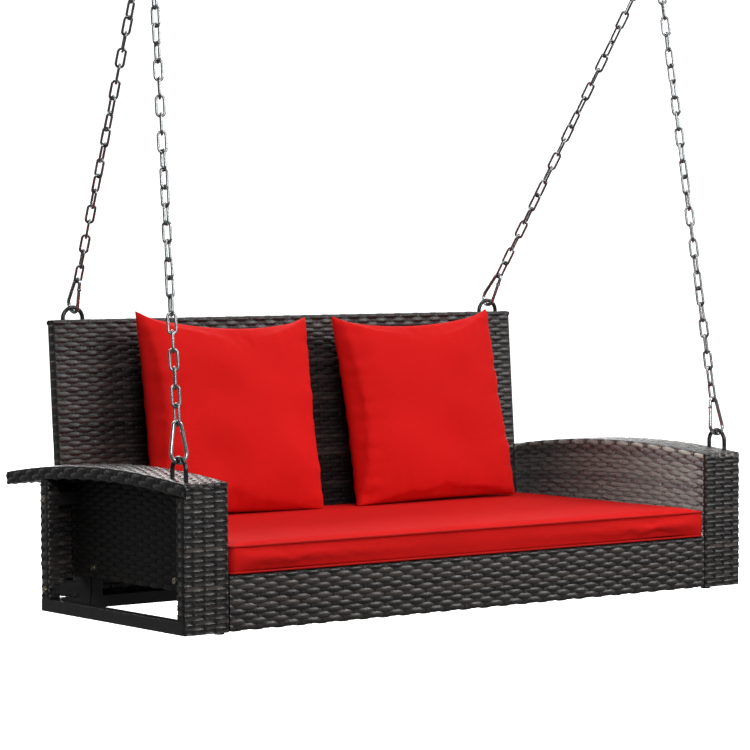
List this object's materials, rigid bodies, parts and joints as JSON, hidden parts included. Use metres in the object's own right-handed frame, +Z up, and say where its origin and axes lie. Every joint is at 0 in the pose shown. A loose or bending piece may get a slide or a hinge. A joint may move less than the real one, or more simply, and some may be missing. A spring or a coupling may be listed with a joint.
{
  "type": "porch swing seat",
  "caption": "Two-seat hanging porch swing: woven seat with arms and back on a steel tube frame, loose cushions, and chains with snap hooks up to two ceiling eyes.",
  "frame": {"origin": "bottom centre of the whole assembly's bounding box, directly under the two ceiling eyes in X", "axes": "+Z up, +X to the right as seen by someone in front of the seat, -Y towards the front edge of the seat"},
  "size_m": [1.274, 0.6968, 1.3459],
  "materials": {
    "frame_black": "satin",
    "wicker_brown": "satin",
    "zinc_chain": "satin",
    "zinc_hook": "polished",
    "zinc_bolt": "satin",
    "black_plastic": "matte",
    "red_fabric": "matte"
  },
  "bodies": {
    "ceiling": {"ceiling_plate_left": "zinc_hook", "ceiling_plate_right": "zinc_hook", "ceiling_eye_left": "zinc_hook", "ceiling_eye_right": "zinc_hook"},
    "swing": {"arm_frame_left": "frame_black", "arm_frame_right": "frame_black", "rear_post_left": "frame_black", "rear_post_right": "frame_black", "armrest_weave_left": "wicker_brown", "armrest_weave_right": "wicker_brown", "arm_side_weave_left": "wicker_brown", "arm_side_weave_right": "wicker_brown", "arm_lining_weave_left": "wicker_brown", "arm_lining_weave_right": "wicker_brown", "arm_front_weave_left": "wicker_brown", "arm_front_weave_right": "wicker_brown", "arm_rear_weave_left": "wicker_brown", "arm_rear_weave_right": "wicker_brown", "arm_bolts_left": "zinc_bolt", "arm_bolts_right": "zinc_bolt", "rail_plugs": "black_plastic", "foot_glides": "black_plastic", "seat_frame": "frame_black", "seat_deck_weave": "wicker_brown", "apron_frame": "frame_black", "apron_weave": "wicker_brown", "rear_stretcher": "frame_black", "rear_apron_weave": "wicker_brown", "back_frame": "frame_black", "back_weave": "wicker_brown", "back_bolts": "zinc_bolt", "front_loop_left": "frame_black", "front_loop_right": "frame_black", "rear_loop_left": "frame_black", "rear_loop_right": "frame_black", "front_snap_hook_left": "zinc_hook", "front_snap_hook_right": "zinc_hook", "rear_snap_hook_left": "zinc_hook", "rear_snap_hook_right": "zinc_hook", "top_snap_hook_left": "zinc_hook", "top_snap_hook_right": "zinc_hook", "gate_pins": "zinc_hook", "front_chain_left": "zinc_chain", "front_chain_right": "zinc_chain", "rear_chain_left": "zinc_chain", "rear_chain_right": "zinc_chain"},
    "front_gate_left": {"front_gate_left": "zinc_hook"},
    "front_gate_right": {"front_gate_right": "zinc_hook"},
    "rear_gate_left": {"rear_gate_left": "zinc_hook"},
    "rear_gate_right": {"rear_gate_right": "zinc_hook"},
    "top_gate_left": {"top_gate_left": "zinc_hook"},
    "top_gate_right": {"top_gate_right": "zinc_hook"},
    "seat_cushion": {"seat_cushion": "red_fabric"},
    "back_cushion_left": {"back_cushion_left": "red_fabric"},
    "back_cushion_right": {"back_cushion_right": "red_fabric"}
  },
  "joints": [
    {"name": "swing_hinge", "type": "hinge", "parent": "ceiling", "child": "swing", "pos_m": [0, 0.048, 1.3109], "axis": [1, 0, 0], "range_deg": [-20, 20]},
    {"name": "front_gate_left_hinge", "type": "hinge", "parent": "swing", "child": "front_gate_left", "pos_m": [-0.60372, -0.23497, 0.41663], "axis": [0, 0.9487, -0.3163], "range_deg": [0, 25], "stiffness_Nm_per_rad": 0.05, "springref_deg": -20.05},
    {"name": "front_gate_right_hinge", "type": "hinge", "parent": "swing", "child": "front_gate_right", "pos_m": [0.60372, -0.23497, 0.41663], "axis": [0, -0.9487, 0.3163], "range_deg": [0, 25], "stiffness_Nm_per_rad": 0.05, "springref_deg": -20.05},
    {"name": "rear_gate_left_hinge", "type": "hinge", "parent": "swing", "child": "rear_gate_left", "pos_m": [-0.4953, 0.31109, 0.55609], "axis": [0.9914, 0.0232, 0.1284], "range_deg": [0, 25], "stiffness_Nm_per_rad": 0.05, "springref_deg": -20.05},
    {"name": "rear_gate_right_hinge", "type": "hinge", "parent": "swing", "child": "rear_gate_right", "pos_m": [0.4953, 0.31109, 0.55609], "axis": [0.9914, -0.0232, -0.1284], "range_deg": [0, 25], "stiffness_Nm_per_rad": 0.05, "springref_deg": -20.05},
    {"name": "top_gate_left_hinge", "type": "hinge", "parent": "swing", "child": "top_gate_left", "pos_m": [-0.58, 0.03838, 1.30186], "axis": [1, 0, 0], "range_deg": [0, 25], "stiffness_Nm_per_rad": 0.05, "springref_deg": -20.05},
    {"name": "top_gate_right_hinge", "type": "hinge", "parent": "swing", "child": "top_gate_right", "pos_m": [0.58, 0.03838, 1.30186], "axis": [1, 0, 0], "range_deg": [0, 25], "stiffness_Nm_per_rad": 0.05, "springref_deg": -20.05},
    {"name": "seat_cushion_slide", "type": "slide", "parent": "swing", "child": "seat_cushion", "axis": [0, -0.9841, 0.1776], "range_m": [0, 0.5]},
    {"name": "back_cushion_left_slide", "type": "slide", "parent": "swing", "child": "back_cushion_left", "axis": [0, 0.2465, 0.9691], "range_m": [0, 0.4]},
    {"name": "back_cushion_right_slide", "type": "slide", "parent": "swing", "child": "back_cushion_right", "axis": [0, 0.2465, 0.9691], "range_m": [0, 0.4]}
  ]
}
